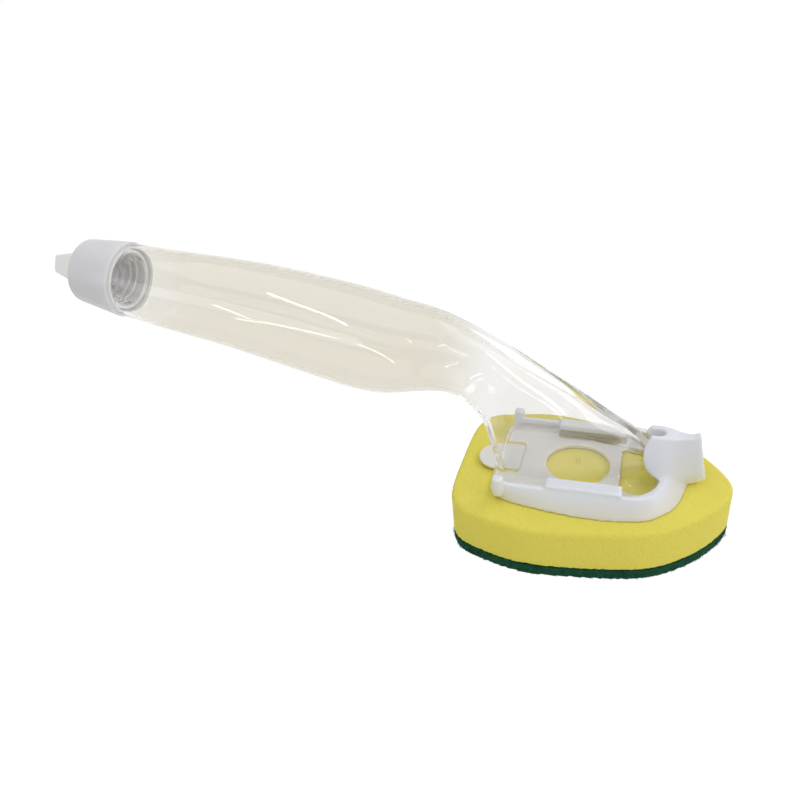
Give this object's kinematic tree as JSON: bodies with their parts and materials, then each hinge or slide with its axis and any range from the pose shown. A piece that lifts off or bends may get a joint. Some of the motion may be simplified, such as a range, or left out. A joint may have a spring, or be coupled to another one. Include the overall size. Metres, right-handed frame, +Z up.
{
  "type": "dish wand",
  "caption": "Soap-dispensing dish wand: hollow clear handle with a screw cap, and a foot that slides into the carrier of an iron-shaped sponge with a scouring pad.",
  "frame": {"origin": "on the underside of the scouring pad, below the middle of the carrier's soap hole", "axes": "+X from the screw cap to the front of the sponge, +Y to the wand's left, +Z up"},
  "size_m": [0.2598, 0.0718, 0.1029],
  "materials": {
    "clear_handle": "clear moulded, glossy",
    "white_cap": "moulded, semi-gloss",
    "seal": "soft white sealing ring",
    "white_carrier": "moulded, semi-gloss",
    "adhesive": "translucent hot-melt film",
    "foam": "open-cell foam, matt",
    "scourer": "non-woven scouring fibre with grit"
  },
  "bodies": {
    "handle": {"handle_shell": "clear_handle", "sole_plate": "clear_handle"},
    "cap_lift": {"cap_seal": "seal"},
    "cap": {"end_cap": "white_cap"},
    "refill": {"refill_carrier": "white_carrier", "carrier_film": "adhesive", "foam_sponge": "foam", "pad_film": "adhesive", "scouring_pad": "scourer"},
    "latch": {"latch_tongue": "white_carrier"}
  },
  "joints": [
    {"name": "refill_slide", "type": "slide", "parent": "handle", "child": "refill", "axis": [1, 0, 0], "range_m": [0, 0.064]},
    {"name": "latch_press", "type": "hinge", "parent": "refill", "child": "latch", "pos_m": [-0.0203, 0, 0.0209], "axis": [0, -1, 0], "range_deg": [0, 3], "stiffness_Nm_per_rad": 0.5},
    {"name": "cap_travel", "type": "slide", "parent": "handle", "child": "cap_lift", "axis": [-0.9848, 0, 0.1736], "range_m": [0, 0.0076]},
    {"name": "cap_spin", "type": "hinge", "parent": "cap_lift", "child": "cap", "pos_m": [-0.1733, 0, 0.08715], "axis": [-0.9848, 0, 0.1736], "range_deg": [0, 900]}
  ],
  "couplings": [
    {"joint": "cap_travel", "follows": "cap_spin", "m_per_rad": 0.00047746}
  ]
}
